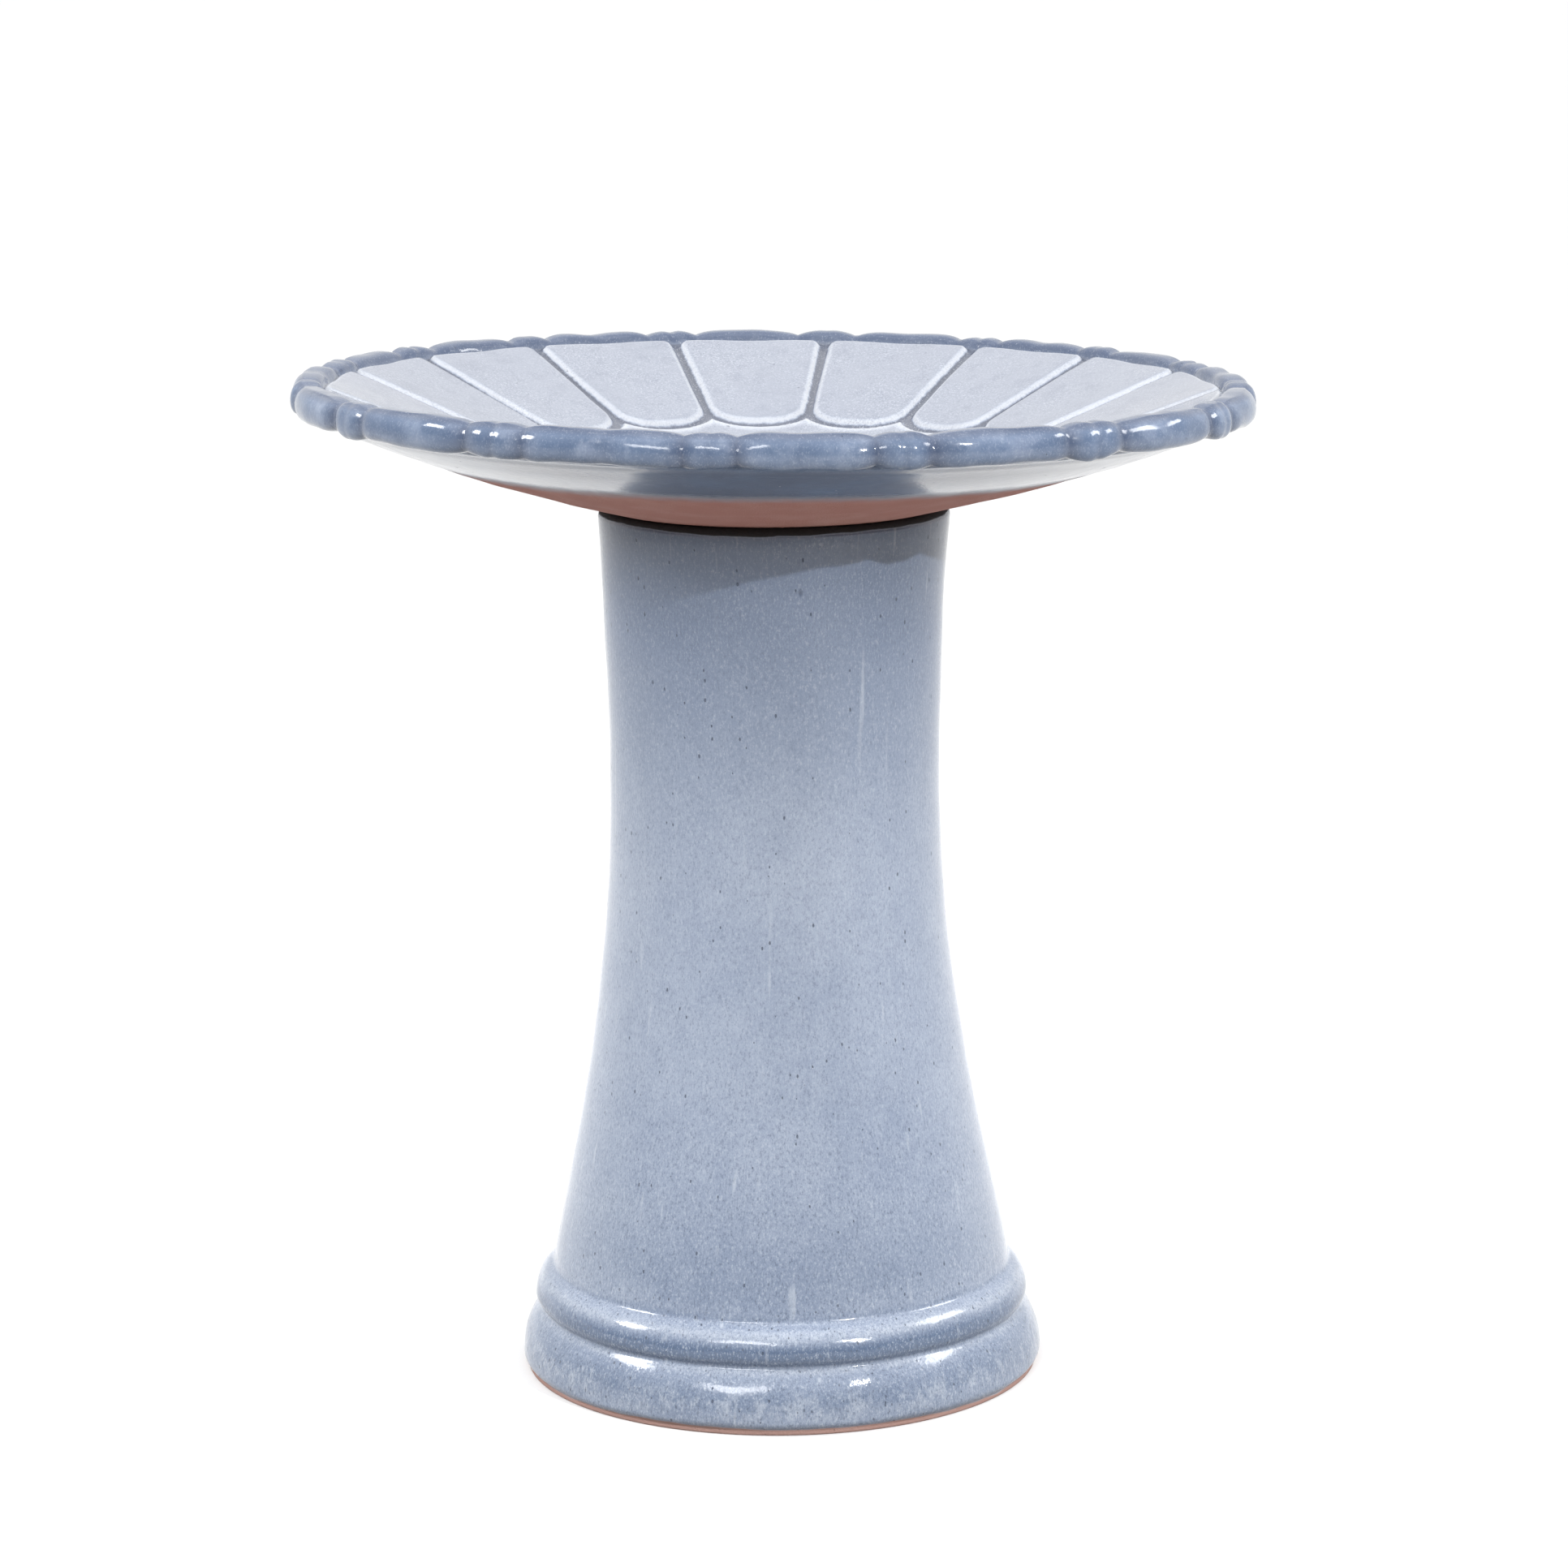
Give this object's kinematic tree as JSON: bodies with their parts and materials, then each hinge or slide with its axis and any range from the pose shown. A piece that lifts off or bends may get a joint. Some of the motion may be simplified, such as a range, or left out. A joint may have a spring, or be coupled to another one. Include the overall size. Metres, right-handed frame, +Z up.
{
  "type": "bird bath",
  "caption": "Short ceramic bird bath: a shallow round basin with radial petal relief and a fat rolled lip, resting on a hollow flared pedestal with a moulded base.",
  "frame": {"origin": "centre of the pedestal's foot, on the ground", "axes": "+Z up along the axis of the pedestal and basin; +X and +Y each run along a groove between two petals"},
  "size_m": [0.4572, 0.4572, 0.4865],
  "materials": {
    "blue_glaze": "gloss"
  },
  "bodies": {
    "pedestal": {"pedestal": "blue_glaze"},
    "basin": {"basin": "blue_glaze"}
  },
  "joints": [
    {"name": "basin_lift", "type": "slide", "parent": "pedestal", "child": "basin", "axis": [0, 0, 1], "range_m": [0, 0.12]}
  ]
}
